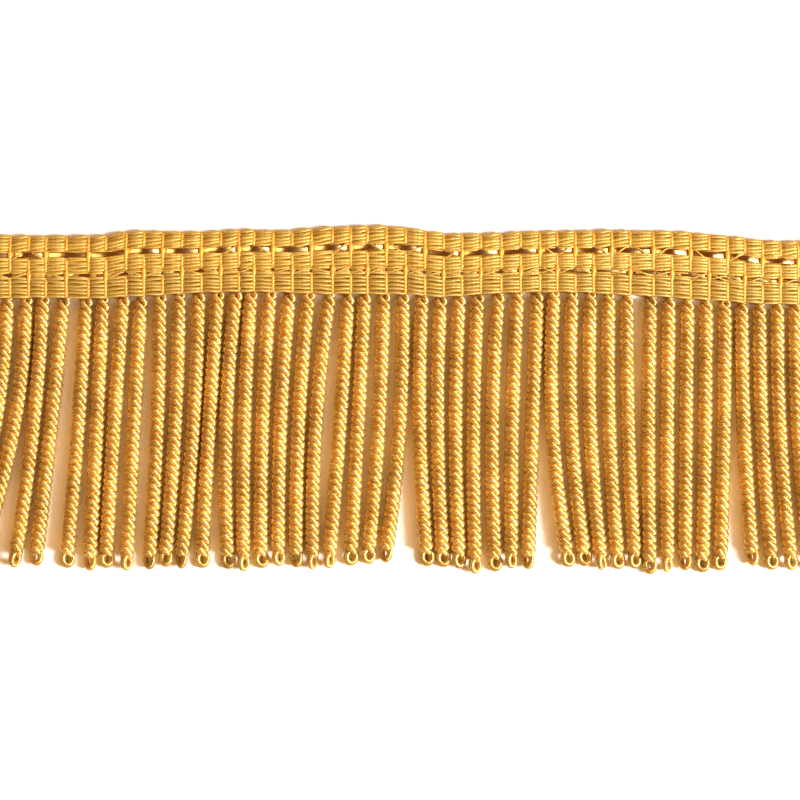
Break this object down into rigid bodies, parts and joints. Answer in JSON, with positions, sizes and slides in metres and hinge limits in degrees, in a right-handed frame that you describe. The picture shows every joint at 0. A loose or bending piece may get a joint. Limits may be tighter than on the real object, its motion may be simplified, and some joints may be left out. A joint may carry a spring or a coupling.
{
  "type": "cord fringe trim",
  "caption": "Cut length of gold fringe trim: a narrow woven heading with two flat metal strips and a row of twisted cords ending in small eyes, lying flat and face up.",
  "frame": {"origin": "middle of the footprint, on the surface that the trim lies on", "axes": "+X along the trim, +Y from the cords' tips towards the heading's free edge, +Z out of the face that shows"},
  "size_m": [0.164, 0.0614, 0.0024],
  "materials": {
    "thread": "fine gold rayon and metallic thread, satin",
    "metal_strip": "flat gold-coloured metal strip, bright",
    "cord": "two-ply twisted gold cord of fine lustrous filaments"
  },
  "bodies": {
    "root": {"heading": "thread", "strip_upper": "metal_strip", "strip_lower": "metal_strip", "fringe": "cord"}
  },
  "joints": []
}
